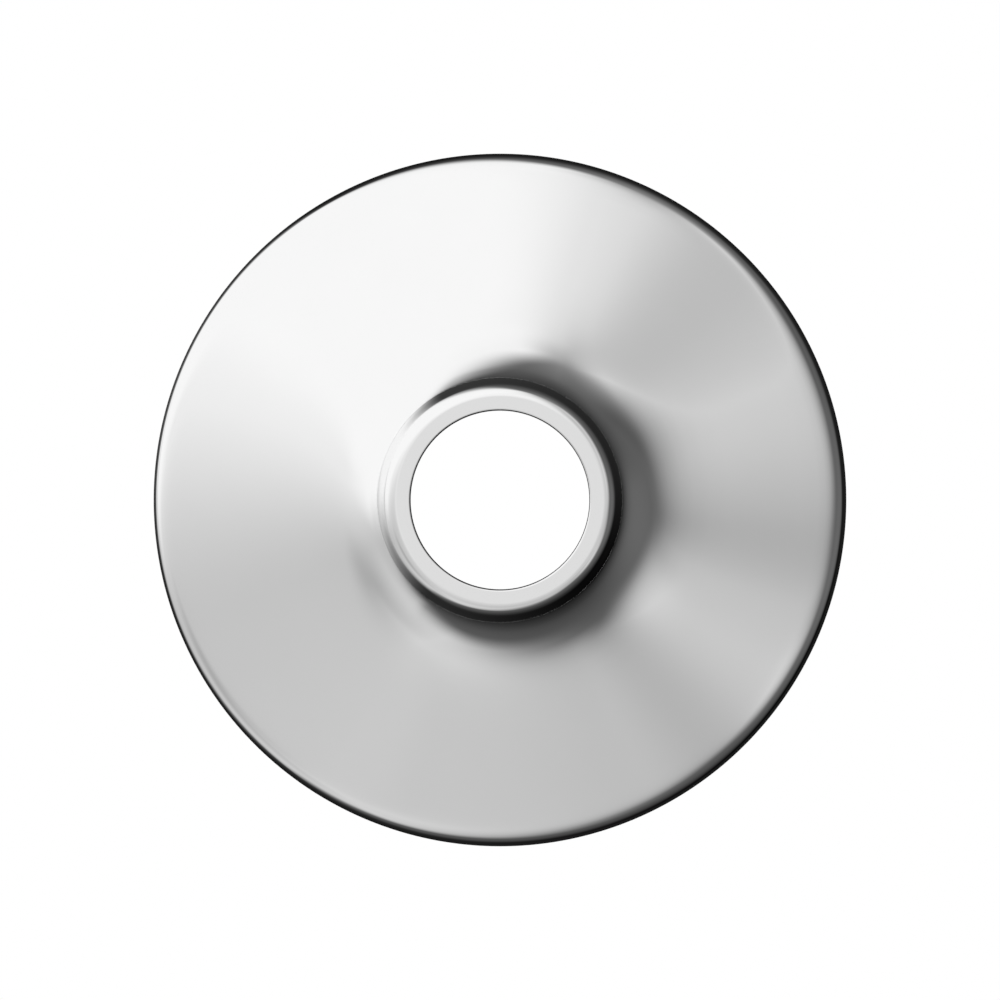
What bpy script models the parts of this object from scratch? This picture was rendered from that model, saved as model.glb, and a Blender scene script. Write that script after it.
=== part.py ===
"""Adjustable two-piece trim plate (escutcheon) for a fire sprinkler.

A drawn cup is clamped between the sprinkler and its fitting. A spun skirt slides along the cup until
its rim touches the wall. Behind the skirt a stamped collar guides it on the cup and traps a wire
spring, which grips the cup so that the skirt stays where it is put.

Metres, +Z up. The axis of the part is the Y axis. The room side is -Y and the wall side is +Y. The
origin is on the axis, in the plane of the skirt's rim, which is the face of the wall.
"""

import math

import bmesh
import bpy
from mathutils import Vector

MM = 0.001                 # metres in a millimetre

# ---------------------------------------------------------------- dimensions: millimetres, degrees
SEGMENTS = 60              # facets round every turned piece
SHARP_ANGLE = 35.0         # edges that turn more than this are shaded sharp
DEPTH = 21.0               # rim plane to the cup's face, and rim plane to the cup's tail

# mounting cup: drawn sheet
CUP_SHEET = 0.8
HOLE_R = 11.05             # punched hole, clears a 1/2 in taper pipe thread
HOLE_EDGE = 0.25           # rounding of the punched edge on the room side
FACE_R = 12.76             # outer radius of the flat face round the hole
SHOULDER_R = 1.61          # bend radius between the face and the wall, on the outside
SHOULDER_STEPS = 4
WALL_SLOPE = 75.0          # slope of the tapered lead-in wall, from the face
CUP_R = 15.14              # outside radius of the straight barrel
GROOVE_DEPTH = 0.20        # rolled catch groove that the spring drops into
GROOVE_HALF = 0.95         # half its width
TAIL_BEND = 2.3            # outside bend radius from barrel to tail brim: the collar runs up
                           # against the start of this bend after 19.05 mm (3/4 in) of travel
TAIL_TURNS = (0.0, 20.0, 45.0, 68.0, 90.0)    # where the points of that bend lie
BRIM_R = 18.3              # outside radius of the tail brim

# skirt: spun sheet. Its front is a flare, a plain cone and a rolled rim, made of tangent arcs
SKIRT_SHEET = 0.7
SLIDE_CLEARANCE = 0.10     # radial, from the barrel to the skirt's bore and the collar's tube
BORE_R = CUP_R + SLIDE_CLEARANCE
CONE_SLOPE = 21.8          # slope of the broad plain cone
RIM_R = 42.85              # 3-3/8 in outside diameter
FLARE = [                  # (radius, slope) where its arcs meet, from the cup out to the cone
    (BORE_R, 60.0),
    (17.0, 42.0),
    (19.5, 31.5),
    (22.5, 24.5),
    (27.0, CONE_SLOPE),
]
RIM_ROLL = [               # the same, from the cone to the short steep lip that ends on the wall
    (39.5, CONE_SLOPE),
    (41.5, 31.0),
    (42.2, 50.0),
    (42.45, 76.0),
]
ARC_STEP = 7.0             # largest turn of one facet along these arcs

# guide collar: stamped sheet welded behind the flare
COLLAR_SHEET = 0.7
WELD_GAP = 0.05            # weld film between the collar's flange and the skirt
GUIDE_R = BORE_R           # inside radius of the guide tube
CHAMBER_R = 18.10          # inside radius of the pocket that holds the spring
COLLAR_TOP_R = 19.45       # where the flange starts to follow the skirt
COLLAR_FLANGE_R = 24.2     # outside radius of the flange
FLANGE_END_MARGIN = 0.1    # skirt points closer than this to the flange's ends are left out
COLLAR_END = -0.62         # y of the guide tube's rear end, just short of the rim plane
COLLAR_BEND = 0.45         # centre-line bend radius
COLLAR_BEND_STEPS = 2

# friction spring: three-lobed split ring of round wire
WIRE_R = 0.45
SPRING_MEAN_R = 16.60
SPRING_LOBE = 0.97         # lobes reach in to the cup and out to the collar
LOBES = 3
SPRING_PLANE = -10.95      # y of the wire's centre line
SPRING_CLEARANCE = 0.10    # along the axis, from the wire to the web of the collar behind it
SPRING_GAP = 7.0           # angle of the split
GAP_ANGLE = 90.0           # middle of the split, half way between an inner and an outer lobe
SPRING_STEPS = 72
SPRING_SIDES = 8
TANGENT_STEP = 1e-3        # radians to either side, for the direction of the wire

AXIS_SIZE = 0.02           # drawn size of the joint empties, metres


# ---------------------------------------------------------------- profile helpers, (radius, y) in mm
def arc_by_slope(start, start_slope, end_r, end_slope, steps):
    """Points after start on the arc that turns from one slope to the other on its way to end_r."""
    start_r, start_y = start
    angle0, angle1 = math.radians(start_slope), math.radians(end_slope)
    if start_slope == end_slope:
        return [(end_r, start_y + math.tan(angle0) * (end_r - start_r))]
    bend = (end_r - start_r) / (math.sin(angle1) - math.sin(angle0))
    points = []
    for i in range(1, steps + 1):
        angle = angle0 + (angle1 - angle0) * i / steps
        points.append((
            start_r + bend * (math.sin(angle) - math.sin(angle0)),
            start_y + bend * (math.cos(angle0) - math.cos(angle)),
        ))
    return points


def offset(path, distance):
    """The path moved sideways, to the left of its direction of travel in the (radius, y) plane."""
    normals = [
        Vector((y0 - y1, r1 - r0)).normalized()
        for (r0, y0), (r1, y1) in zip(path, path[1:])
    ]
    moved = []
    for (r, y), before, after in zip(path, normals[:1] + normals, normals + normals[-1:]):
        mitre = (before + after).normalized()
        reach = distance / mitre.dot(before)
        moved.append((r + mitre.x * reach, y + mitre.y * reach))
    return moved


def rounded(corners, radius, steps):
    """Polyline with each inner corner replaced by an arc of the given radius."""
    points = [corners[0]]
    for before, corner, after in zip(corners, corners[1:], corners[2:]):
        tip = Vector(corner)
        back = (Vector(before) - tip).normalized()
        ahead = (Vector(after) - tip).normalized()
        half_angle = math.acos(max(-1.0, min(1.0, back.dot(ahead)))) / 2
        reach = radius / math.tan(half_angle)
        centre = tip + (back + ahead).normalized() * (radius / math.sin(half_angle))
        from_centre = tip + back * reach - centre
        to_centre = tip + ahead * reach - centre
        angle0 = math.atan2(from_centre.y, from_centre.x)
        angle1 = math.atan2(to_centre.y, to_centre.x)
        turn = math.remainder(angle1 - angle0, math.tau)    # the short way round
        for i in range(steps + 1):
            angle = angle0 + turn * i / steps
            points.append((
                centre.x + radius * math.cos(angle),
                centre.y + radius * math.sin(angle),
            ))
    points.append(corners[-1])
    return points


def on_line(start, end, radius):
    """Point at a radius on the straight line through start and end."""
    (r0, y0), (r1, y1) = start, end
    return (radius, y0 + (y1 - y0) * (radius - r0) / (r1 - r0))


def at_radius(path, radius):
    """Point of the path at a radius."""
    for start, end in zip(path, path[1:]):
        if start[0] <= radius <= end[0]:
            return on_line(start, end, radius)
    raise ValueError("radius outside the path")


# ---------------------------------------------------------------- modelling helpers
def metal(name, colour, roughness):
    mat = bpy.data.materials.new(name)
    mat.use_nodes = True
    shader = mat.node_tree.nodes["Principled BSDF"]
    shader.inputs["Base Color"].default_value = (*colour, 1.0)
    shader.inputs["Roughness"].default_value = roughness
    shader.inputs["Metallic"].default_value = 1.0
    return mat


def make_object(name, bm, mat):
    bmesh.ops.recalc_face_normals(bm, faces=bm.faces)
    mesh = bpy.data.meshes.new(name)
    bm.to_mesh(mesh)
    bm.free()
    mesh.materials.append(mat)
    mesh.shade_smooth()
    mesh.set_sharp_from_angle(angle=math.radians(SHARP_ANGLE))
    obj = bpy.data.objects.new(name, mesh)
    bpy.context.scene.collection.objects.link(obj)
    return obj


def turned(name, outline, mat):
    """Closed outline of (radius, y) points in mm, spun a full turn about the Y axis."""
    bm = bmesh.new()
    verts = [bm.verts.new((r * MM, y * MM, 0.0)) for r, y in outline]
    edges = [bm.edges.new(pair) for pair in zip(verts, verts[1:] + verts[:1])]
    bmesh.ops.spin(
        bm,
        geom=verts + edges,
        cent=(0.0, 0.0, 0.0),
        axis=(0.0, 1.0, 0.0),
        angle=math.tau,
        steps=SEGMENTS,
        use_merge=True,
    )
    bmesh.ops.remove_doubles(bm, verts=bm.verts, dist=1e-8)
    return make_object(name, bm, mat)


# ---------------------------------------------------------------- mounting cup
def cup_lead_in():
    """Outside of the cup from the edge of the flat face, up the tapered wall to the barrel."""
    face_edge = (FACE_R, -DEPTH)
    wall_angle = math.radians(WALL_SLOPE)
    shoulder_end_r = FACE_R + SHOULDER_R * math.sin(wall_angle)
    path = [face_edge]
    path += arc_by_slope(face_edge, 0.0, shoulder_end_r, WALL_SLOPE, SHOULDER_STEPS)
    end_r, end_y = path[-1]
    path.append((CUP_R, end_y + math.tan(wall_angle) * (CUP_R - end_r)))
    return path


def cup_outside():
    """Outside surface of the cup from the flat face to the tail brim."""
    groove = [
        (CUP_R, SPRING_PLANE - GROOVE_HALF),
        (CUP_R - GROOVE_DEPTH, SPRING_PLANE),
        (CUP_R, SPRING_PLANE + GROOVE_HALF),
    ]
    brim_y = DEPTH - CUP_SHEET
    tail = []
    for turn in TAIL_TURNS:
        angle = math.radians(turn)
        tail.append((
            CUP_R + TAIL_BEND * (1 - math.cos(angle)),
            brim_y - TAIL_BEND * (1 - math.sin(angle)),
        ))
    return cup_lead_in() + groove + tail + [(BRIM_R, brim_y)]


def cup_outline():
    outside = cup_outside()
    # the hole is punched straight through, so the inside starts on the hole's own wall
    inside = offset([(HOLE_R, -DEPTH)] + outside, CUP_SHEET)
    edge = []
    for degrees in (90, 45, 0):
        angle = math.radians(degrees)
        edge.append((
            HOLE_R + HOLE_EDGE * (1 - math.sin(angle)),
            -DEPTH + HOLE_EDGE * (1 - math.cos(angle)),
        ))
    return edge + outside + inside[::-1]


# ---------------------------------------------------------------- skirt plate
def skirt_front():
    """Room-side surface of the skirt, from its lip at the end of the cup's lead-in to the rim."""
    joints = FLARE + RIM_ROLL
    path = [(BORE_R, cup_lead_in()[-1][1])]
    for (_, slope), (next_r, next_slope) in zip(joints, joints[1:]):
        steps = max(1, math.ceil(abs(next_slope - slope) / ARC_STEP))
        path += arc_by_slope(path[-1], slope, next_r, next_slope, steps)
    path.append((RIM_R, 0.0))
    return path


def skirt_outline():
    front = skirt_front()
    back = offset(front, SKIRT_SHEET)
    # the bore is pierced straight along the axis: the back surface starts where it meets the bore
    back = [at_radius(back, BORE_R)] + [point for point in back if point[0] > BORE_R]
    # the rim is trimmed square on the wall plane
    back[-1] = (RIM_R - SKIRT_SHEET, 0.0)
    return front + back[::-1]


# ---------------------------------------------------------------- guide collar
def collar_flange():
    """Centre line of the flange: parallel to the skirt's back surface, one weld film behind it."""
    nest = offset(skirt_front(), SKIRT_SHEET + WELD_GAP + COLLAR_SHEET / 2)
    inner_r = COLLAR_TOP_R + FLANGE_END_MARGIN
    outer_r = COLLAR_FLANGE_R - FLANGE_END_MARGIN
    between = [point for point in nest if inner_r < point[0] < outer_r]
    return [at_radius(nest, COLLAR_TOP_R)] + between + [at_radius(nest, COLLAR_FLANGE_R)]


def collar_outline():
    half = COLLAR_SHEET / 2
    flange = collar_flange()
    tube_r = GUIDE_R + half
    wall_r = CHAMBER_R + half
    web_y = SPRING_PLANE + WIRE_R + SPRING_CLEARANCE + half
    corners = [
        (tube_r, COLLAR_END),
        (tube_r, web_y),
        (wall_r, web_y),
        # the pocket wall runs forward to meet the line of the flange
        on_line(flange[0], flange[1], wall_r),
        flange[0],
    ]
    middle = rounded(corners, COLLAR_BEND, COLLAR_BEND_STEPS) + flange[1:]
    return offset(middle, half) + offset(middle, -half)[::-1]


# ---------------------------------------------------------------- friction spring
def spring_point(angle):
    """Point of the wire's centre line, in metres."""
    r = SPRING_MEAN_R + SPRING_LOBE * math.cos(LOBES * angle)
    return Vector((r * math.cos(angle), SPRING_PLANE, r * math.sin(angle))) * MM


def wire_section(bm, angle):
    """Ring of vertices round the wire, square to it."""
    centre = spring_point(angle)
    tangent = spring_point(angle + TANGENT_STEP) - spring_point(angle - TANGENT_STEP)
    axial = Vector((0, 1, 0))
    side = tangent.normalized().cross(axial).normalized()
    ring = []
    for k in range(SPRING_SIDES):
        turn = math.tau * (k + 0.5) / SPRING_SIDES
        outward = side * math.cos(turn) + axial * math.sin(turn)
        ring.append(bm.verts.new(centre + outward * WIRE_R * MM))
    return ring


def friction_spring(name, mat):
    """Round wire swept along the lobed ring from one side of the split to the other."""
    bm = bmesh.new()
    start = math.radians(GAP_ANGLE + SPRING_GAP / 2)
    sweep = math.radians(360.0 - SPRING_GAP)
    rings = [wire_section(bm, start + sweep * i / SPRING_STEPS) for i in range(SPRING_STEPS + 1)]
    for ring, following in zip(rings, rings[1:]):
        for k in range(SPRING_SIDES):
            j = (k + 1) % SPRING_SIDES
            bm.faces.new((ring[k], ring[j], following[j], following[k]))
    bm.faces.new(rings[0])
    bm.faces.new(rings[-1][::-1])
    return make_object(name, bm, mat)


# ---------------------------------------------------------------- assembly
def joint_axis(name):
    empty = bpy.data.objects.new(name, None)
    empty.empty_display_size = AXIS_SIZE
    bpy.context.scene.collection.objects.link(empty)
    return empty


for old in list(bpy.data.objects):
    bpy.data.objects.remove(old, do_unlink=True)

cup_chrome = metal("cup_chrome", colour=(0.78, 0.78, 0.79), roughness=0.08)
skirt_chrome = metal("skirt_chrome", colour=(0.80, 0.80, 0.81), roughness=0.08)
collar_zinc = metal("collar_zinc", colour=(0.55, 0.57, 0.60), roughness=0.38)
spring_steel = metal("spring_steel", colour=(0.42, 0.42, 0.43), roughness=0.30)

turned("mounting_cup", cup_outline(), cup_chrome)
skirt = turned("skirt_plate", skirt_outline(), skirt_chrome)
collar = turned("guide_collar", collar_outline(), collar_zinc)
spring = friction_spring("friction_spring", spring_steel)

# the slide carries the spring and the spin, and the spin carries the skirt and its collar
slide_axis = joint_axis("skirt_slide_axis")
spin_axis = joint_axis("skirt_spin_axis")
spin_axis.parent = slide_axis
spring.parent = slide_axis
skirt.parent = spin_axis
collar.parent = spin_axis
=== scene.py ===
"""Adjustable trim plate: a chromed cup with a sliding skirt, its guide collar and friction spring.

Every piece is turned about the Y axis and the room side is -Y. Profiles are lists of (radius, y)
in millimetres, meshes are in metres.
"""
import math
from functools import cached_property

import bpy
import numpy as np
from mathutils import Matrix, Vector


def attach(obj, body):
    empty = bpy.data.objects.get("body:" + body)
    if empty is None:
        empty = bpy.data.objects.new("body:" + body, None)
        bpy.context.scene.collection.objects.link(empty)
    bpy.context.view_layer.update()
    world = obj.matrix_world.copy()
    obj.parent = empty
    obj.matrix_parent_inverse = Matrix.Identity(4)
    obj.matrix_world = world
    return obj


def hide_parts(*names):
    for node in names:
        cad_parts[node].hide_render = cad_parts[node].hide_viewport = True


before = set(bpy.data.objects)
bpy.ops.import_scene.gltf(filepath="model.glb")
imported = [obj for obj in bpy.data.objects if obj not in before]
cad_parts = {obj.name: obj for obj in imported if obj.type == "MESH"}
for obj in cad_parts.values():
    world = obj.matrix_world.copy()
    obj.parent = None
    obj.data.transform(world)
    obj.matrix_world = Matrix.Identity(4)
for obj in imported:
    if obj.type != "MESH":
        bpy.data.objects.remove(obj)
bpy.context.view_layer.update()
MM = 0.001

# ---------------------------------------------------------------- sizes, in millimetres
DEPTH = 21.0               # the cup reaches from -DEPTH to +DEPTH along Y

CUP_SHEET = 0.8
HOLE_R = 11.05
HOLE_EDGE = 0.21           # rounding on the room side
HOLE_EDGE_TURN = 86        # degrees of that rounding
HOLE_TAPER = 0.085         # the hole opens by this much towards the room
HOLE_BACK_EDGE = 0.05
FACE_R = 12.76
SHOULDER_R = 1.61
WALL_SLOPE = 75.4          # mean of the wall in degrees, used for the inside of the sheet
CUP_R = 15.14
BARREL_LEAD = 0.02         # from the tapered wall to the start of the barrel
GROOVE_DEPTH = 0.20
GROOVE_HALF = 0.95
GROOVE_STEPS = 9           # on each side of its middle
TAIL_BEND = 2.3
BRIM_R = 18.3
BRIM_EDGE = 0.25
# outside of the cup from the flat face to the barrel: (radius, slope in degrees)
CUP_STATIONS = [
    (12.80, 0.0), (13.00, 7.9), (13.20, 17.3), (13.36, 22.4), (13.48, 26.4), (13.60, 33.3),
    (13.72, 39.3), (13.90, 45.3), (14.08, 53.2), (14.20, 60.0), (14.32, 71.0), (14.42, 75.4),
    (14.60, 76.3), (14.76, 76.0), (14.90, 74.8), (15.02, 73.2), (15.138, 71.0),
]

SKIRT_SHEET = 0.7
BORE_R = 15.146
LIP_EDGE = 0.004           # room side of the bore
LIP_BACK_EDGE = 0.08
RIM_R = 42.86
TRIM_EDGE = 0.05           # rounding of the trimmed rim
# room side of the skirt from the bore to the rim: (radius, slope in degrees)
SKIRT_STATIONS = [
    (BORE_R, 67.0), (15.20, 64.4), (15.26, 61.6), (15.32, 59.5), (15.40, 57.7), (15.50, 56.2),
    (15.68, 53.3), (15.86, 50.9), (16.10, 48.4), (16.40, 45.5), (16.70, 43.8), (17.30, 41.3),
    (18.20, 37.8), (18.80, 35.0), (19.40, 31.8), (20.00, 29.3), (20.90, 26.7), (21.80, 25.2),
    (22.70, 24.0), (24.00, 23.0), (26.00, 22.1), (28.00, 21.8), (39.00, 21.8), (40.20, 22.8),
    (40.80, 24.6), (41.22, 27.7), (41.46, 31.0), (41.70, 36.4), (41.94, 41.0), (42.06, 44.0),
    (42.18, 48.2), (42.25, 53.0), (42.32, 60.0), (42.38, 68.5), (42.44, 75.0), (42.52, 78.5),
    (42.60, 79.5), (42.70, 80.5), (RIM_R, 81.0),
]

WIRE_R = 0.45
SPRING_MEAN_R = 16.60
SPRING_LOBE = 0.97         # how far the three lobes stand out and in
SPRING_PLANE = -10.95      # also the middle of the cup's groove
SPRING_GAP = math.radians(7.0)

COLLAR_SHEET = 0.7
WELD_GAP = 0.05            # between skirt and flange
SPRING_CLEARANCE = 0.10    # between spring and web
GUIDE_R = 15.24
CHAMBER_R = 18.10
COLLAR_TOP_R = 19.45
COLLAR_FLANGE_R = 24.2
FLANGE_POINTS = 40
COLLAR_END = -0.62
COLLAR_BEND = 0.45
COLLAR_OUTER_EDGE = 0.12
COLLAR_END_EDGE = 0.14
WELDS = 8
WELD_R = 21.9
WELD_SECTOR = 2 * math.pi / WELDS
# electrode mark: a dish and the raised edge round it
DISH_R, DISH_WALL, DISH_DEPTH = 1.2, 0.42, 0.28
RIDGE_R, RIDGE_WIDTH, RIDGE_HEIGHT = 1.35, 0.24, 0.05


# ---------------------------------------------------------------- profile helpers
def offset(path, distance):
    """path moved sideways by distance, to the left of its direction of travel."""
    out = []
    for i, point in enumerate(path):
        before = path[max(i - 1, 0)]
        after = path[min(i + 1, len(path) - 1)]
        arriving = Vector((point[0] - before[0], point[1] - before[1]))
        leaving = Vector((after[0] - point[0], after[1] - point[1]))
        if arriving.length < 1e-9:
            arriving = leaving.copy()
        if leaving.length < 1e-9:
            leaving = arriving.copy()
        normal_in = Vector((-arriving.y, arriving.x)).normalized()
        normal_out = Vector((-leaving.y, leaving.x)).normalized()
        mitre = (normal_in + normal_out).normalized()
        stretch = mitre.dot(normal_in)
        out.append((
            point[0] + mitre.x * distance / stretch,
            point[1] + mitre.y * distance / stretch,
        ))
    return out


def rounded(corners, radius, steps):
    """Open polyline with its corners replaced by arcs, smaller where two corners are close."""
    out = [corners[0]]
    for before, corner, after in zip(corners, corners[1:], corners[2:]):
        corner = Vector(corner)
        back, ahead = Vector(before) - corner, Vector(after) - corner
        to_back, to_ahead = back.normalized(), ahead.normalized()
        half = math.acos(max(-1.0, min(1.0, to_back.dot(to_ahead)))) / 2
        if half > math.radians(89.5):
            out.append(tuple(corner))
            continue
        arc_r = min(radius, 0.45 * min(back.length, ahead.length) * math.tan(half))
        reach = arc_r / math.tan(half)
        start, end = corner + to_back * reach, corner + to_ahead * reach
        centre = corner + (to_back + to_ahead).normalized() * (arc_r / math.sin(half))
        first = math.atan2(start.y - centre.y, start.x - centre.x)
        last = math.atan2(end.y - centre.y, end.x - centre.x)
        while last - first > math.pi:
            last -= 2 * math.pi
        while last - first < -math.pi:
            last += 2 * math.pi
        for k in range(steps + 1):
            turn = first + (last - first) * k / steps
            out.append((centre.x + arc_r * math.cos(turn), centre.y + arc_r * math.sin(turn)))
    out.append(corners[-1])
    return out


def straight(start, end, count, lead=0.04):
    """count points between start and end, both left out, and one more close to each end to hold
    the shading flat."""
    (r0, y0), (r1, y1) = start, end
    near = min(lead / math.hypot(r1 - r0, y1 - y0), 0.2)
    inner = [near + (1 - 2 * near) * i / (count + 1) for i in range(1, count + 1)]
    stops = [near] + inner + [1 - near]
    return [(r0 + (r1 - r0) * t, y0 + (y1 - y0) * t) for t in stops]


class SmoothSlope:
    """Slope as a smooth function of radius through the stations, without overshoot between them.
    The sine of the slope is a monotone cubic in the radius."""

    def __init__(self, stations):
        self.radii = np.array([s[0] for s in stations], float)
        self.sines = np.sin(np.radians([s[1] for s in stations]))
        self.widths = width = np.diff(self.radii)
        rate = np.diff(self.sines) / width
        self.rates = np.zeros(len(self.radii))
        self.rates[0], self.rates[-1] = rate[0], rate[-1]
        for i in range(1, len(self.radii) - 1):
            if rate[i - 1] * rate[i] > 0:
                w0 = 2 * width[i] + width[i - 1]
                w1 = width[i] + 2 * width[i - 1]
                self.rates[i] = (w0 + w1) / (w0 / rate[i - 1] + w1 / rate[i])

    def __call__(self, radius):
        """Slope in radians."""
        i = int(np.clip(np.searchsorted(self.radii, radius) - 1, 0, len(self.widths) - 1))
        width = self.widths[i]
        t = (radius - self.radii[i]) / width
        sine = (
            (1 + 2 * t) * (1 - t) ** 2 * self.sines[i]
            + t * (1 - t) ** 2 * width * self.rates[i]
            + t * t * (3 - 2 * t) * self.sines[i + 1]
            + t * t * (t - 1) * width * self.rates[i + 1]
        )
        return math.asin(max(-1.0, min(1.0, sine)))


def walk(slope, y, radii):
    """(radius, y) at each radius, found by adding up the slope between them."""
    out = [(radii[0], y)]
    steps = 8
    for r0, r1 in zip(radii, radii[1:]):
        step = (r1 - r0) / steps
        for k in range(steps):
            y += step * math.tan(slope(r0 + (k + 0.5) * step))
        out.append((r1, y))
    return out


def stepped(slope, start, end, turn, longest):
    """Radii from start to end, closer where the slope changes fast: steps are shortened until
    they turn by turn degrees at most, or are very short."""
    radii = [start]
    while radii[-1] < end - 1e-6:
        here = radii[-1]
        step = longest
        while (step > 0.006
               and abs(slope(min(here + step, end)) - slope(here)) > math.radians(turn)):
            step *= 0.8
        radii.append(min(here + step, end))
    if len(radii) > 2 and radii[-1] - radii[-2] < 0.3 * (radii[-2] - radii[-3]):
        radii.pop(-2)
    return radii


def cup_shoulder():
    """Outside of the cup from the flat face to the end of the tapered wall."""
    slope = SmoothSlope(CUP_STATIONS)
    first, last = CUP_STATIONS[0][0], CUP_STATIONS[-1][0]
    return walk(slope, -DEPTH, stepped(slope, first, last, turn=2.0, longest=0.08))


SHOULDER = cup_shoulder()
WALL_END_Y = SHOULDER[-1][1]   # the skirt's lip sits here at rest


# ---------------------------------------------------------------- mesh helpers
def finish_mesh(name, points, faces, zones, materials):
    """Closed mesh of quads facing out, with one material slot index per face."""
    a, b, c, d = (points[faces[:, k]] for k in range(4))
    volume = (
        np.einsum("ij,ij->i", a, np.cross(b, c)) + np.einsum("ij,ij->i", a, np.cross(c, d))
    ).sum() / 6
    if volume < 0:
        faces = faces[:, ::-1]
    mesh = bpy.data.meshes.new(name)
    mesh.from_pydata(points.tolist(), [], faces.tolist())
    for material in materials:
        mesh.materials.append(material)
    mesh.polygons.foreach_set("material_index", np.asarray(zones, np.int32))
    mesh.shade_smooth()
    mesh.set_sharp_from_angle(angle=math.radians(32))
    mesh.update()
    piece = bpy.data.objects.new(name, mesh)
    bpy.context.scene.collection.objects.link(piece)
    return piece


def turned(name, outline, zones, materials, segments, press=None, pressed=()):
    """Closed outline spun a full turn about Y. zones holds the material slot of each outline edge.
    press(radius, angles), in mm along y, is added to the outline points listed in pressed."""
    count = len(outline)
    radii, ys = np.array(outline).T
    angles = np.linspace(0, 2 * math.pi, segments, endpoint=False)
    points = np.empty((segments, count, 3))
    points[..., 0] = radii * np.cos(angles)[:, None]
    points[..., 1] = ys
    points[..., 2] = radii * np.sin(angles)[:, None]
    for i in pressed:
        points[:, i, 1] += press(radii[i], angles)
    i, j = np.meshgrid(np.arange(segments), np.arange(count), indexing="ij")
    i2, j2 = (i + 1) % segments, (j + 1) % count
    corners = [i * count + j, i * count + j2, i2 * count + j2, i2 * count + j]
    faces = np.stack(corners, -1).reshape(-1, 4)
    return finish_mesh(name, points.reshape(-1, 3) * MM, faces, zones * segments, materials)


# ---------------------------------------------------------------- node helpers
class Graph:
    """Short calls for building a node tree. Every input takes a socket or a plain value."""

    def __init__(self, tree):
        self.tree = tree
        tree.nodes.clear()

    def new(self, kind, **settings):
        node = self.tree.nodes.new(kind)
        for key, value in settings.items():
            setattr(node, key, value)
        return node

    def put(self, socket, value):
        if isinstance(value, bpy.types.NodeSocket):
            self.tree.links.new(value, socket)
        elif value is not None:
            socket.default_value = value

    def fill(self, node, *values):
        """Values for the node's first inputs, in order. Gives the node's first output."""
        for socket, value in zip(node.inputs, values):
            self.put(socket, value)
        return node.outputs[0]

    def math(self, operation, a, b=None):
        return self.fill(self.new("ShaderNodeMath", operation=operation), a, b)

    def add(self, a, b):
        return self.math("ADD", a, b)

    def mul(self, a, b):
        return self.math("MULTIPLY", a, b)

    def weighted(self, base, *parts):
        """base plus the sum of the parts, each given as (signal, weight)."""
        terms = [self.mul(signal, weight) for signal, weight in parts]
        total = terms.pop()
        while terms:
            total = self.add(terms.pop(), total)
        return self.add(base, total)

    def hypot(self, a, b):
        return self.math("SQRT", self.add(self.mul(a, a), self.mul(b, b)))

    def dot(self, a, b):
        node = self.new("ShaderNodeVectorMath", operation="DOT_PRODUCT")
        self.fill(node, a, b)
        return node.outputs["Value"]

    def ramp(self, value, start, end):
        """Smooth step from 0 at start to 1 at end."""
        node = self.new("ShaderNodeMapRange", interpolation_type="SMOOTHSTEP", clamp=True)
        self.fill(node, value, start, end)
        return node.outputs["Result"]

    def mix(self, factor, a, b, kind="FLOAT"):
        node = self.new("ShaderNodeMix", data_type=kind)
        for name, value in (("Factor", factor), ("A", a), ("B", b)):
            self.put(next(s for s in node.inputs if s.name == name and s.enabled), value)
        return next(s for s in node.outputs if s.enabled)

    def vector(self, x, y, z):
        return self.fill(self.new("ShaderNodeCombineXYZ"), x, y, z)

    def colour(self, red, green, blue):
        return self.fill(self.new("ShaderNodeCombineColor"), red, green, blue)

    def grey(self, value):
        return self.colour(value, value, value)

    def noise(self, vector, scale, detail, roughness=0.5):
        node = self.new("ShaderNodeTexNoise")
        self.put(node.inputs["Vector"], vector)
        self.put(node.inputs["Scale"], scale)
        self.put(node.inputs["Detail"], detail)
        self.put(node.inputs["Roughness"], roughness)
        return node.outputs["Fac"]

    def bump(self, height, distance, normal=None):
        """Surface normal for a relief; distance is in metres."""
        node = self.new("ShaderNodeBump")
        self.put(node.inputs["Height"], height)
        self.put(node.inputs["Distance"], distance)
        self.put(node.inputs["Normal"], normal)
        return node.outputs["Normal"]


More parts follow.
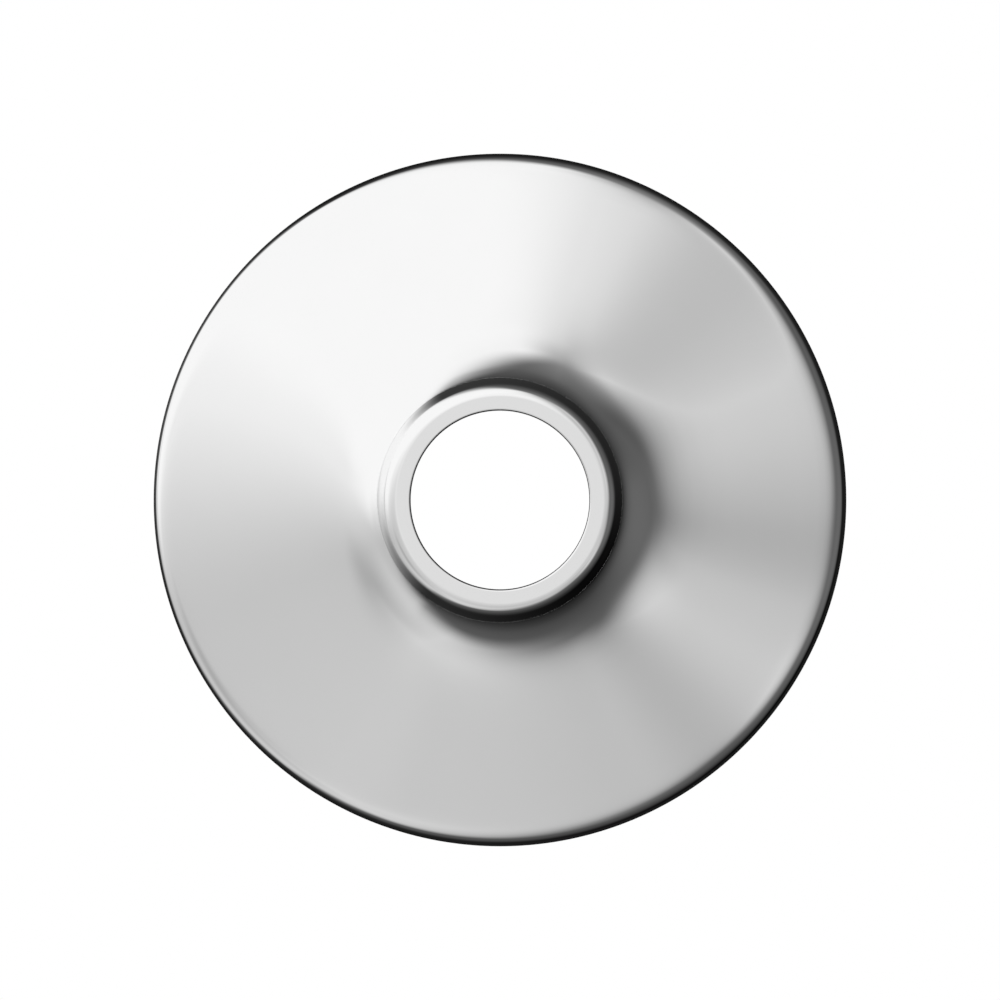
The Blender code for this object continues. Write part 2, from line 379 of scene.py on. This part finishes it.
class Metal(Graph):
    """A metal on a turned piece: coordinates in mm, radius and angle about the piece's axis."""

    def __init__(self, name):
        self.material = bpy.data.materials.new(name)
        self.material.use_nodes = True
        super().__init__(self.material.node_tree)
        scaled = self.new("ShaderNodeVectorMath", operation="SCALE")
        scaled.inputs["Scale"].default_value = 1 / MM
        self.at = self.fill(scaled, self.new("ShaderNodeTexCoord").outputs["Object"])
        parts = self.new("ShaderNodeSeparateXYZ")
        self.fill(parts, self.at)
        self.x, self.y, self.z = parts.outputs
        self.radius = self.hypot(self.x, self.z)

    @cached_property
    def angle(self):
        return self.math("ARCTAN2", self.z, self.x)

    # a point on the unit circle: noise read there has no seam where the angle wraps
    @cached_property
    def circle_x(self):
        return self.math("DIVIDE", self.x, self.radius)

    @cached_property
    def circle_z(self):
        return self.math("DIVIDE", self.z, self.radius)

    def rings(self, per_mm, stretch, detail):
        """Turning lines: fine across the sheet's profile, long round the axis."""
        across = self.mul(self.add(self.radius, self.mul(self.y, 0.7)), per_mm)
        where = self.vector(
            self.add(across, self.mul(self.circle_x, stretch)),
            self.mul(self.circle_z, stretch),
            self.mul(self.circle_x, stretch),
        )
        return self.noise(where, scale=1.0, detail=detail, roughness=0.6)

    def drawn_lines(self, around, along, detail, roughness):
        """Lines along the axis: around and along are the noise's pace in the two directions."""
        where = self.vector(
            self.mul(self.circle_x, around),
            self.mul(self.y, along),
            self.mul(self.circle_z, around),
        )
        return self.noise(where, scale=1.0, detail=detail, roughness=roughness)

    def shader(self, colour, roughness, normal, metallic=1.0, mirrored=True):
        """Finished material. Mirror reflections pass through it where unmirrored says so."""
        principled = self.new("ShaderNodeBsdfPrincipled")
        self.put(principled.inputs["Base Color"], colour)
        self.put(principled.inputs["Roughness"], roughness)
        self.put(principled.inputs["Metallic"], metallic)
        self.put(principled.inputs["Normal"], normal)
        clear = self.new("ShaderNodeBsdfTransparent")
        surface = self.fill(
            self.new("ShaderNodeMixShader"),
            self.unmirrored(mirrored), principled.outputs[0], clear.outputs[0],
        )
        self.put(self.new("ShaderNodeOutputMaterial").inputs["Surface"], surface)
        return self.material

    def unmirrored(self, mirrored):
        """1 where a mirror reflection passes through this surface: everywhere if it isn't
        mirrored, otherwise from inside the sheet or after passing another surface."""
        path = self.new("ShaderNodeLightPath")
        glossy = path.outputs["Is Glossy Ray"]
        if not mirrored:
            return glossy
        inside = self.new("ShaderNodeNewGeometry").outputs["Backfacing"]
        passed = self.math("GREATER_THAN", path.outputs["Transparent Depth"], 0.5)
        return self.mul(glossy, self.math("MAXIMUM", inside, passed))


# ---------------------------------------------------------------- finishes
REFLECTANCE = 0.85


def polished_chrome(name, mirrored):
    """Bright decorative chrome: almost a mirror, with a trace of buffing rings and waviness."""
    metal = Metal(name)
    cloud = metal.noise(metal.at, scale=0.16, detail=3.0, roughness=0.55)
    buff = metal.rings(per_mm=5.0, stretch=2.0, detail=2.0)
    tone = metal.weighted(REFLECTANCE - 0.008, (cloud, 0.016))
    rough = metal.weighted(0.022, (cloud, 0.030), (buff, 0.012))
    roll = metal.noise(metal.at, scale=0.35, detail=1.0, roughness=0.4)
    wave = metal.bump(roll, distance=6e-7)
    fine = metal.bump(buff, distance=4e-8, normal=wave)
    return metal.shader(metal.grey(tone), rough, fine, mirrored=mirrored)


def barrel_chrome(name):
    """The plating where the skirt slides: drawn lines along the axis and fine rubbed rings."""
    metal = Metal(name)
    draw = metal.drawn_lines(around=90.0, along=0.25, detail=3.0, roughness=0.6)
    rub = metal.rings(per_mm=9.0, stretch=1.5, detail=3.0)
    streak = metal.ramp(rub, start=0.60, end=0.72)
    tone = metal.weighted(0.80, (draw, 0.05), (streak, -0.04))
    rough = metal.weighted(0.045, (draw, 0.05), (streak, 0.12))
    normal = metal.bump(metal.weighted(draw, (rub, 0.5)), distance=1.2e-6)
    return metal.shader(metal.grey(tone), rough, normal)


def unpolished_back(name, mirrored, base=0.52, drawn=0.0):
    """Thin plating over unpolished sheet: satin, with the lines left by spinning and a mottled
    grey. drawn adds lines along the axis, as a deep draw leaves them."""
    metal = Metal(name)
    cloud = metal.noise(metal.at, scale=0.22, detail=4.0, roughness=0.6)
    lines = metal.rings(per_mm=3.2, stretch=1.6, detail=4.0)
    coarse = metal.rings(per_mm=0.9, stretch=1.2, detail=1.0)
    draw = metal.drawn_lines(around=60.0, along=0.12, detail=4.0, roughness=0.65)
    tone = metal.weighted(base, (cloud, 0.18), (lines, 0.18), (coarse, 0.10))
    tone = metal.weighted(tone, (metal.add(draw, -0.5), 0.35 * drawn))
    # slightly blue
    cool = metal.colour(red=metal.mul(tone, 0.985), green=tone, blue=metal.mul(tone, 1.02))
    rough = metal.weighted(0.24, (cloud, 0.18), (lines, 0.14))
    turning = metal.weighted(lines, (coarse, 2.0))
    normal = metal.bump(metal.weighted(turning, (draw, 2.0 * drawn)), distance=7.5e-6)
    return metal.shader(cool, rough, normal, metallic=0.68, mirrored=mirrored)


def zinc_plate(name):
    """Bright zinc on a stamping: fine crystalline mottling and a tinted ring at each weld."""
    metal = Metal(name)
    cell = metal.new("ShaderNodeTexVoronoi", feature="SMOOTH_F1")
    metal.put(cell.inputs["Vector"], metal.at)
    metal.put(cell.inputs["Scale"], 2.6)
    metal.put(cell.inputs["Smoothness"], 0.6)
    crystal = cell.outputs["Distance"]
    cloud = metal.noise(metal.at, scale=0.5, detail=4.0, roughness=0.6)
    # distance to the nearest weld: fold the angle into one sector
    wrapped = metal.math("FLOORED_MODULO", metal.angle, WELD_SECTOR)
    folded = metal.math("SUBTRACT", wrapped, WELD_SECTOR / 2)
    from_weld = metal.hypot(
        metal.mul(folded, WELD_R), metal.math("SUBTRACT", metal.radius, WELD_R)
    )
    patches = metal.ramp(metal.noise(metal.at, scale=1.1, detail=2.0), start=0.25, end=0.6)
    halo = metal.mul(metal.ramp(from_weld, start=2.3, end=1.15), patches)
    core = metal.ramp(from_weld, start=1.05, end=0.7)
    # mottled plate, brownish halo, grey core
    plate = metal.mix(
        factor=metal.ramp(cloud, start=0.3, end=0.7),
        a=(0.50, 0.52, 0.55, 1.0), b=(0.63, 0.64, 0.655, 1.0), kind="RGBA",
    )
    tinted = metal.mix(
        factor=metal.mul(halo, 0.40), a=plate, b=(0.42, 0.37, 0.30, 1.0), kind="RGBA"
    )
    colour = metal.mix(
        factor=metal.mul(core, 0.5), a=tinted, b=(0.40, 0.40, 0.41, 1.0), kind="RGBA"
    )
    rough = metal.weighted(0.30, (crystal, 0.16), (cloud, 0.12), (core, 0.12))
    normal = metal.bump(metal.weighted(crystal, (cloud, 0.6)), distance=6e-6)
    return metal.shader(colour, rough, normal, metallic=0.65)


def spring_wire(name):
    """Oil-tempered spring wire: dark blue-grey with drawing lines along it."""
    metal = Metal(name)
    along, across = 1.5, 14.0   # pace of the lines per radian and per mm
    where = metal.vector(
        metal.mul(metal.angle, along), metal.mul(metal.radius, across), metal.mul(metal.y, across)
    )
    lines = metal.noise(where, scale=1.0, detail=3.0, roughness=0.6)
    cloud = metal.noise(metal.at, scale=0.7, detail=3.0)
    colour = metal.mix(
        factor=metal.ramp(cloud, start=0.35, end=0.7),
        a=(0.20, 0.215, 0.24, 1.0), b=(0.36, 0.355, 0.36, 1.0), kind="RGBA",
    )
    rough = metal.weighted(0.24, (lines, 0.2))
    return metal.shader(colour, rough, metal.bump(lines, distance=8e-6))


cup_chrome = polished_chrome("cup_chrome_polished", mirrored=True)
cup_barrel = barrel_chrome("cup_chrome_barrel")
# the inside of the cup gets a darker base tone than the skirt's back: painted shade in the cup's
# hollow, since its mirror reflections pass through the walls without shadow
cup_back = unpolished_back("cup_inside_satin", mirrored=False, base=0.36, drawn=0.4)
skirt_chrome = polished_chrome("skirt_chrome_polished", mirrored=False)
skirt_back = unpolished_back("skirt_back_satin", mirrored=True)
collar_zinc = zinc_plate("collar_zinc")
spring_steel = spring_wire("spring_steel")


# ---------------------------------------------------------------- mounting cup
def cup_rear(wall_points):
    """Outside of the cup from the spring's groove to the end of the tail bend."""
    groove = [
        (
            CUP_R - GROOVE_DEPTH * (0.5 + 0.5 * math.cos(math.pi * k / GROOVE_STEPS)),
            SPRING_PLANE + GROOVE_HALF * k / GROOVE_STEPS,
        )
        for k in range(-GROOVE_STEPS, GROOVE_STEPS + 1)
    ]
    bend_start = DEPTH - CUP_SHEET - TAIL_BEND
    steps = 20
    bend = [
        (CUP_R + TAIL_BEND * (1 - math.cos(t)), bend_start + TAIL_BEND * math.sin(t))
        for t in (math.radians(90) * i / steps for i in range(steps + 1))
    ]
    return groove + straight(groove[-1], (CUP_R, bend_start), wall_points) + bend


def cup_outside():
    barrel = (CUP_R, WALL_END_Y + BARREL_LEAD)
    rear = cup_rear(wall_points=6)
    return SHOULDER + [barrel] + straight(barrel, rear[0], 3) + rear


def cup_inside():
    """Inside of the sheet, offset from a plainer outside: the shoulder is one arc and the joint
    to the barrel one corner."""
    steps = 30
    shoulder = [
        (FACE_R + SHOULDER_R * math.sin(t), -DEPTH + SHOULDER_R * (1 - math.cos(t)))
        for t in (math.radians(WALL_SLOPE) * i / steps for i in range(1, steps + 1))
    ]
    path = [(HOLE_R, -DEPTH), (FACE_R, -DEPTH)] + shoulder + [(CUP_R, WALL_END_Y)]
    return offset(path + cup_rear(wall_points=2), CUP_SHEET)[1:]


def cup_outline():
    """Outline and the slot of each of its edges: 0 polished, 1 barrel, 2 inside."""
    outside = cup_outside()
    back = cup_inside()[::-1]
    # the hole: rounded on the room side, a small break on the other side
    edge_r = HOLE_R + HOLE_TAPER
    hole = [
        (edge_r + HOLE_EDGE * (1 - math.sin(t)), -DEPTH + HOLE_EDGE * (1 - math.cos(t)))
        for t in (math.radians(HOLE_EDGE_TURN - HOLE_EDGE_TURN * k / 14) for k in range(15))
    ]
    back_edge = [
        (
            HOLE_R + HOLE_BACK_EDGE * (1 - math.cos(t)),
            -DEPTH + CUP_SHEET - HOLE_BACK_EDGE * (1 - math.sin(t)),
        )
        for t in (math.radians(90 - 22.5 * k) for k in range(5))
    ]
    tail_r = outside[-1][0]
    brim_corners = [outside[-1], (BRIM_R, DEPTH - CUP_SHEET), (BRIM_R, DEPTH), (tail_r, DEPTH)]
    brim = rounded(brim_corners, BRIM_EDGE, 6)[1:-1]

    face = hole + straight(hole[-1], outside[0], 3)
    outline = face + outside
    polished = len(face) + len(SHOULDER)
    outline += straight(outside[-1], brim[0], 1)
    inside_from = len(outline)
    outline += brim
    outline += straight(outline[-1], back[0], 1) + back
    outline += straight(outline[-1], back_edge[0], 2) + back_edge
    hole_from = len(outline) - 1
    outline += straight(back_edge[-1], hole[0], 1)
    zones = [0] * polished + [1] * (inside_from - polished) + [2] * (hole_from - inside_from)
    return outline, zones + [0] * (len(outline) - hole_from)


def build_cup():
    outline, zones = cup_outline()
    cup = turned("cup_body", outline, zones, [cup_chrome, cup_barrel, cup_back], 360)
    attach(cup, "cup")
    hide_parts("mounting_cup")


# ---------------------------------------------------------------- skirt plate
def skirt_front():
    """Room side of the skirt from the lip at the bore to the edge of the rolled rim."""
    slope = SmoothSlope(SKIRT_STATIONS)
    return walk(slope, WALL_END_Y, stepped(slope, BORE_R, RIM_R, turn=1.3, longest=2.2))


def skirt_outline():
    """Outline and the slot of each of its edges: 0 polished room side, 1 satin back and edge."""
    front = skirt_front()
    # end the rim at y 0, clear of points that crowd its edge
    while front[-2][1] > -0.25:
        front.pop(-2)
    front[-1] = (RIM_R, 0.0)
    back = offset(front[::3] + [front[-1]], SKIRT_SHEET)
    # cut the back off at the bore and short of the rim
    while back[1][0] <= BORE_R + 1e-6:
        back.pop(0)
    (r0, y0), (r1, y1) = back[0], back[1]
    t = (BORE_R - r0) / (r1 - r0)
    back[0] = (BORE_R, y0 + t * (y1 - y0))
    back.pop()
    while back[-1][1] > -0.3:
        back.pop()
    rim_corners = [front[-2], front[-1], (RIM_R - SKIRT_SHEET, 0.0), back[-1]]
    rim = rounded(rim_corners, TRIM_EDGE, 5)[1:-1]
    lip = rounded([back[0], front[0], front[2]], LIP_EDGE, 6)[1:-1]
    outline = lip + straight(lip[-1], front[2], 2, lead=LIP_EDGE) + front[2:-1]
    outline += straight(front[-2], rim[0], 2)
    polished = len(outline)
    outline += rim + back[:0:-1]
    outline += rounded([back[1], back[0], front[0]], LIP_BACK_EDGE, 4)[1:-1]
    # the last edge is the bore
    return outline, [0] * polished + [1] * (len(outline) - 1 - polished) + [0]


def build_skirt():
    outline, zones = skirt_outline()
    skirt = turned("skirt_shell", outline, zones, [skirt_chrome, skirt_back], 448)
    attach(skirt, "skirt")
    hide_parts("skirt_plate")


# ---------------------------------------------------------------- guide collar
def collar_outline():
    """Stamped ring, and the index range of the points behind its flange, where the welds are."""
    half = COLLAR_SHEET / 2
    nest = offset(skirt_front(), SKIRT_SHEET + WELD_GAP + half)
    line = [p for p in nest if COLLAR_TOP_R - 0.6 < p[0] < COLLAR_FLANGE_R + 0.6]
    radii, ys = np.array(line).T
    flange = [
        (radius, float(np.interp(radius, radii, ys)))
        for radius in np.linspace(COLLAR_TOP_R, COLLAR_FLANGE_R, FLANGE_POINTS)
    ]
    tube_r = GUIDE_R + half
    wall_r = CHAMBER_R + half
    web_y = SPRING_PLANE + WIRE_R + SPRING_CLEARANCE + half
    # the flange's line runs on inwards to meet the wall
    (r0, y0), (r1, y1) = flange[0], flange[1]
    meet_y = y0 + (wall_r - r0) * (y1 - y0) / (r1 - r0)
    corners = [
        (tube_r, COLLAR_END), (tube_r, web_y), (wall_r, web_y), (wall_r, meet_y), flange[0],
    ]
    stem = rounded(corners, COLLAR_BEND, 8)[:-1]
    middle = [stem[0]] + straight(stem[0], stem[1], 3) + stem[1:] + flange
    rear, face = offset(middle, half), offset(middle, -half)
    outer = rounded([rear[-2], rear[-1], face[-1], face[-2]], COLLAR_OUTER_EDGE, 4)[1:-1]
    end = rounded([face[1], face[0], rear[0], rear[1]], COLLAR_END_EDGE, 4)[1:-1]
    chain = rear[1:-1]
    outline = chain + outer + face[-2:0:-1] + end
    return outline, range(len(chain) - FLANGE_POINTS, len(chain))


def weld_marks(radius, angles):
    """Round electrode marks: a shallow dish with a slightly raised edge."""
    around = (np.mod(angles, WELD_SECTOR) - WELD_SECTOR / 2) * WELD_R
    distance = np.hypot(around, radius - WELD_R)
    dish = np.clip((DISH_R - distance) / DISH_WALL, 0, 1)
    dish = dish * dish * (3 - 2 * dish)
    ridge = np.exp(-(((distance - RIDGE_R) / RIDGE_WIDTH) ** 2))
    return -DISH_DEPTH * dish + RIDGE_HEIGHT * ridge


def build_collar():
    outline, welded = collar_outline()
    zones = [0] * len(outline)
    collar = turned("collar_ring", outline, zones, [collar_zinc], 420, weld_marks, welded)
    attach(collar, "skirt")
    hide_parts("guide_collar")


# ---------------------------------------------------------------- friction spring
def spring_point(angle):
    radius = SPRING_MEAN_R + SPRING_LOBE * math.cos(3 * angle)
    return Vector((radius * math.cos(angle), SPRING_PLANE, radius * math.sin(angle)))


def spring_mesh():
    """Round wire swept along the lobed ring, with slightly rounded ends and a gap at the top."""
    start, sweep = math.radians(90.0) + SPRING_GAP / 2, 2 * math.pi - SPRING_GAP
    steps, sides = 420, 16
    axis = Vector((0, 1, 0))
    # stops along the wire: (share of its length, share of its thickness)
    tip = [(0.0, 0.55), (0.0, 0.86), (0.0009, 0.97)]
    full_from = 0.0022
    full = [(full_from + (1 - 2 * full_from) * i / steps, 1.0) for i in range(steps + 1)]
    stops = tip + full + [(1 - t, size) for t, size in reversed(tip)]
    points = []
    for t, size in stops:
        angle = start + sweep * t
        centre = spring_point(angle)
        tangent = (spring_point(angle + 1e-3) - spring_point(angle - 1e-3)).normalized()
        side = tangent.cross(axis).normalized()
        for k in range(sides):
            turn = 2 * math.pi * (k + 0.5) / sides
            spoke = side * math.cos(turn) + axis * math.sin(turn)
            points.append(centre + spoke * WIRE_R * size)
    rings = len(stops)
    faces = []
    for i in range(rings - 1):
        here, ahead = i * sides, (i + 1) * sides
        for k in range(sides):
            j = (k + 1) % sides
            faces.append((here + k, here + j, ahead + j, ahead + k))
    # each end is closed by quads round a middle point
    last = (rings - 1) * sides
    for end in (points[:sides], points[last:last + sides]):
        points.append(sum(end, Vector()) / sides)
    middle = rings * sides
    for k in range(0, sides, 2):
        j, m = (k + 1) % sides, (k + 2) % sides
        faces.append((middle, m, j, k))
        faces.append((middle + 1, last + k, last + j, last + m))
    return np.array([tuple(p) for p in points]) * MM, np.array(faces)


def build_spring():
    points, faces = spring_mesh()
    spring = finish_mesh("spring_ring", points, faces, [0] * len(faces), [spring_steel])
    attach(spring, "spring")
    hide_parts("friction_spring")


build_cup()
build_skirt()
build_collar()
build_spring()

# ---------------------------------------------------------------- studio
# Soft lights and grey flats round the object. The chrome shows them by mirror reflection. Each is
# a rectangle with soft edges on the sky: longitude (0 towards the camera, + to the right) and
# latitude of its middle, roll, half width, half height, softness of the two pairs of edges, all in
# degrees, and brightness.
FLATS = [
    (-8.1, 11.8, 5.5, 87.4, 35.5, 120, 41.9, 0.30),
    (53.6, 27, 11.9, 73.7, 15.1, 116, 23.9, 0.03),
    (26.4, -59.2, 40.4, 120.5, 16.6, 59.1, 51.5, 0.11),
    (-71.9, -34.5, -20.9, 82.2, 25.3, 19.5, 27.1, 0.50),
    (-30.2, -12.2, 19.2, 67.9, 30, 38.4, 6.5, 0.53),
    (4, 20.3, -116.9, 29.9, 1.1, 119.2, 71.6, 1.27),
    (-60, -40.7, 32.8, 10.3, 20.8, 19.9, 26.2, 0.27),
    (-43.6, -55.8, -29, 15.3, 16.2, 87.9, 15.6, 0.73),
    (42.3, -23.5, -4.9, 11.2, 10.7, 38.4, 20.3, 0.69),
    (43.6, 24.9, -13.3, 1.1, 26.5, 55.3, 27, 1.02),
    (-71.3, 46.9, 138.8, 22.7, 55.2, 22.8, 20, 0.86),
    (-112, 47.4, 33.6, 62.6, 11.2, 13.7, 13.4, 0.86),
    (-70.6, 38.8, -77.2, 38.6, 65.7, 42.7, 33.5, 0.93),
]
ROOM_LEVEL = 0.08
ROOM_CHANGE = (-0.033, -0.068, 0.021)   # change of level to the right, away and up
DARKEST = 0.002
# round dark flat behind the object: outer and inner angle, brightness
WALL_OUTER, WALL_INNER, WALL_VALUE = 26, 19.5, 0.01
FLOOR_TONE = 0.885         # the floor as the camera sees it
FLOOR_REACH = 5.0          # metres
FLOOR_GAP = 0.1            # mm below the rim
# large soft lights that the mirrors don't show, one overhead in front and one behind for the satin
# back: (name, energy, spread in degrees, direction it comes from)
SOFTLIGHTS = [
    ("overhead_softlight", 4.0, 55, (-0.45, -0.35, 1.0)),
    ("rear_fill", 2.4, 50, (0.35, 0.8, 0.55)),
]
VIEW_WIDTH = 0.12372       # metres
CAMERA_DISTANCE = 1.0


def axes(longitude, latitude, roll):
    """Middle, right and up directions of a flat."""
    lon, lat, tilt = (math.radians(v) for v in (longitude, latitude, roll))
    middle = Vector((
        math.cos(lat) * math.sin(lon), -math.cos(lat) * math.cos(lon), math.sin(lat)
    ))
    across = Vector((math.cos(lon), math.sin(lon), 0.0))
    up = middle.cross(across)
    return (
        middle,
        across * math.cos(tilt) + up * math.sin(tilt),
        up * math.cos(tilt) - across * math.sin(tilt),
    )


def soft_edge(graph, angle, half, soft):
    """1 within half of the middle, 0 outside, over a band soft wide."""
    return graph.ramp(angle, math.radians(half + soft / 2), math.radians(half - soft / 2))


def studio_light(graph, look):
    """Brightness of the surroundings in the direction look."""
    room = graph.add(graph.dot(look, ROOM_CHANGE), ROOM_LEVEL)
    light = graph.math("MAXIMUM", room, DARKEST)
    for lon, lat, roll, half_w, half_h, soft_w, soft_h, value in FLATS:
        middle, across, upward = (tuple(axis) for axis in axes(lon, lat, roll))
        turn = graph.math("ARCTAN2", graph.dot(look, across), graph.dot(look, middle))
        rise = graph.math("ARCSINE", graph.dot(look, upward))
        inside = graph.mul(
            soft_edge(graph, graph.math("ABSOLUTE", turn), half_w, soft_w),
            soft_edge(graph, graph.math("ABSOLUTE", rise), half_h, soft_h),
        )
        light = graph.mix(inside, light, value)
    behind = graph.ramp(
        graph.dot(look, (0.0, 1.0, 0.0)),
        start=math.cos(math.radians(WALL_OUTER)), end=math.cos(math.radians(WALL_INNER)),
    )
    return graph.mix(behind, light, WALL_VALUE)


def build_world():
    world = bpy.data.worlds.new("studio")
    bpy.context.scene.world = world
    world.use_nodes = True
    graph = Graph(world.node_tree)
    look = graph.new("ShaderNodeTexCoord").outputs["Generated"]
    studio = graph.mul(studio_light(graph, look), 1 / REFLECTANCE)
    # for the camera: white level and upwards, and the floor's tone downwards, as its lowest rays
    # can start under the floor
    downward = graph.ramp(graph.dot(look, (0.0, 0.0, 1.0)), start=-0.01, end=-0.03)
    backdrop = graph.mix(downward, 1.0, FLOOR_TONE)
    shown = [
        graph.fill(graph.new("ShaderNodeBackground"), (1, 1, 1, 1), strength)
        for strength in (studio, backdrop)
    ]
    seen = graph.new("ShaderNodeLightPath").outputs["Is Camera Ray"]
    surface = graph.fill(graph.new("ShaderNodeMixShader"), seen, *shown)
    graph.put(graph.new("ShaderNodeOutputWorld").inputs["Surface"], surface)


def floor_paper():
    paper = bpy.data.materials.new("floor_paper")
    paper.use_nodes = True
    graph = Graph(paper.node_tree)
    where = graph.new("ShaderNodeTexCoord").outputs["Object"]
    grain = graph.noise(where, scale=40.0, detail=3.0)
    tone = graph.weighted(0.42, (grain, 0.015))
    matt = graph.fill(graph.new("ShaderNodeBsdfDiffuse"), graph.grey(tone))
    graph.put(graph.new("ShaderNodeOutputMaterial").inputs["Surface"], matt)
    return paper


def build_floor():
    mesh = bpy.data.meshes.new("floor")
    z = -(RIM_R + FLOOR_GAP) * MM
    corners = [(x * FLOOR_REACH, y * FLOOR_REACH, z) for x, y in ((-1, -1), (1, -1), (1, 1), (-1, 1))]
    mesh.from_pydata(corners, [], [(0, 1, 2, 3)])
    floor = bpy.data.objects.new("floor", mesh)
    bpy.context.scene.collection.objects.link(floor)
    mesh.materials.append(floor_paper())
    floor.visible_glossy = False


def build_lights():
    for name, energy, spread, source in SOFTLIGHTS:
        sun = bpy.data.lights.new(name, "SUN")
        sun.energy = energy
        sun.angle = math.radians(spread)
        lamp = bpy.data.objects.new(name, sun)
        lamp.rotation_mode = "QUATERNION"
        lamp.rotation_quaternion = Vector(source).to_track_quat("Z", "Y")
        lamp.visible_glossy = False
        bpy.context.scene.collection.objects.link(lamp)


def build_camera():
    """Parallel view along +Y, from the room side."""
    lens = bpy.data.cameras.new("camera")
    lens.type = "ORTHO"
    lens.ortho_scale = VIEW_WIDTH
    lens.clip_start, lens.clip_end = 0.01, 10.0
    camera = bpy.data.objects.new("camera", lens)
    camera.location = (0.0, -CAMERA_DISTANCE, 0.0)
    camera.rotation_euler = (math.radians(90), 0, 0)
    bpy.context.scene.collection.objects.link(camera)
    bpy.context.scene.camera = camera


build_world()
build_floor()
build_lights()
build_camera()
bpy.context.scene.view_settings.view_transform = "Standard"
